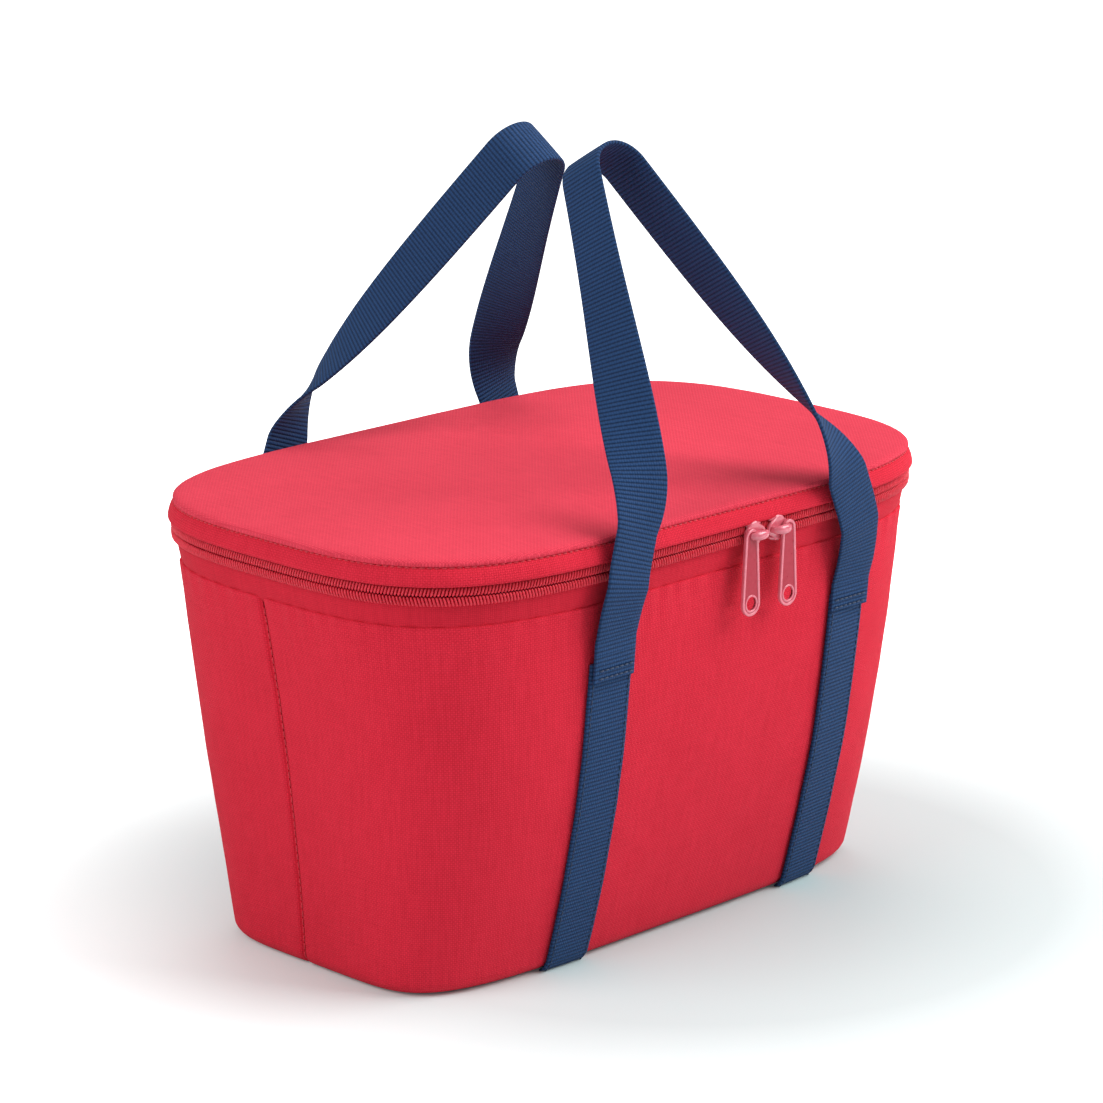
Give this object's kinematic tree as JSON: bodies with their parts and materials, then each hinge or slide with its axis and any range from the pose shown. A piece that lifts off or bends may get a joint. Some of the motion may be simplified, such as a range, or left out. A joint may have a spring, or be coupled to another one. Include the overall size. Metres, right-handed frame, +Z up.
{
  "type": "insulated cooler bag",
  "caption": "Soft insulated cooler bag: tapered padded body, hinged zipped lid with two sliders and swinging pulls, and two webbing carry handles that lean over the lid.",
  "frame": {"origin": "centre of the base's underside, on the surface the bag stands on", "axes": "+X along the bag's length to the right, +Y from the zip pulls at the front to the lid's hinge at the back, +Z up"},
  "size_m": [0.2774, 0.183, 0.2855],
  "materials": {
    "red_cloth": "matte woven polyester",
    "zip_tape": "matte woven tape",
    "zip_coil": "satin nylon coil",
    "binding": "matte folded tape",
    "foam": "soft closed-cell foam padding",
    "foil_lining": "foil-faced lining cloth with a soft sheen",
    "board": "matte stiffener",
    "webbing": "ribbed matte webbing",
    "painted_slider": "glossy paint"
  },
  "bodies": {
    "bag": {"outer_front_panel": "red_cloth", "outer_back_panel": "red_cloth", "outer_base_panel": "red_cloth", "front_foam": "foam", "back_foam": "foam", "base_board": "board", "base_foam": "foam", "front_lining": "foil_lining", "back_lining": "foil_lining", "base_lining": "foil_lining", "body_binding": "binding", "zip_tape_lower": "zip_tape", "zip_coil_lower": "zip_coil", "zip_end_tabs": "red_cloth", "hinge_strip_lower": "red_cloth", "strap_front_left": "webbing", "strap_front_right": "webbing", "strap_back_left": "webbing", "strap_back_right": "webbing"},
    "lid": {"lid_top_panel": "red_cloth", "lid_foam": "foam", "lid_lining": "foil_lining", "lid_binding": "binding", "zip_tape_upper": "zip_tape", "zip_coil_upper": "zip_coil", "hinge_strip_upper": "red_cloth"},
    "front_handle_foot": {"front_handle_feet": "webbing"},
    "front_handle_loop": {"front_handle": "webbing"},
    "back_handle_foot": {"back_handle_feet": "webbing"},
    "back_handle_loop": {"back_handle": "webbing"},
    "left_slider": {"slider_left": "painted_slider"},
    "right_slider": {"slider_right": "painted_slider"},
    "left_pull": {"pull_left": "painted_slider"},
    "right_pull": {"pull_right": "painted_slider"}
  },
  "joints": [
    {"name": "lid_hinge", "type": "hinge", "parent": "bag", "child": "lid", "pos_m": [0, 0.085, 0.15], "axis": [-1, 0, 0], "range_deg": [0, 100]},
    {"name": "front_handle_lean", "type": "hinge", "parent": "bag", "child": "front_handle_foot", "pos_m": [0, -0.08296, 0.118], "axis": [1, 0, 0], "range_deg": [0, 90]},
    {"name": "front_handle_fold", "type": "hinge", "parent": "front_handle_foot", "child": "front_handle_loop", "pos_m": [0, -0.08448, 0.126], "axis": [1, 0, 0], "range_deg": [0, 60]},
    {"name": "back_handle_lean", "type": "hinge", "parent": "bag", "child": "back_handle_foot", "pos_m": [0, 0.08296, 0.118], "axis": [-1, 0, 0], "range_deg": [0, 45]},
    {"name": "back_handle_fold", "type": "hinge", "parent": "back_handle_foot", "child": "back_handle_loop", "pos_m": [0, 0.08448, 0.126], "axis": [-1, 0, 0], "range_deg": [0, 100]},
    {"name": "left_slider_travel", "type": "slide", "parent": "bag", "child": "left_slider", "axis": [-1, 0, 0], "range_m": [0, 0.047]},
    {"name": "right_slider_travel", "type": "slide", "parent": "bag", "child": "right_slider", "axis": [1, 0, 0], "range_m": [0, 0.018]},
    {"name": "left_pull_swing", "type": "hinge", "parent": "left_slider", "child": "left_pull", "pos_m": [0.01025, -0.0895, 0.15], "axis": [0, -1, 0], "range_deg": [-90, 8]},
    {"name": "right_pull_swing", "type": "hinge", "parent": "right_slider", "child": "right_pull", "pos_m": [0.02975, -0.0895, 0.15], "axis": [0, 1, 0], "range_deg": [-60, 8]}
  ],
  "couplings": [
    {"joint": "front_handle_lean", "follows": "lid_hinge", "ratio": 0.9},
    {"joint": "back_handle_lean", "follows": "lid_hinge", "ratio": 0.45}
  ]
}
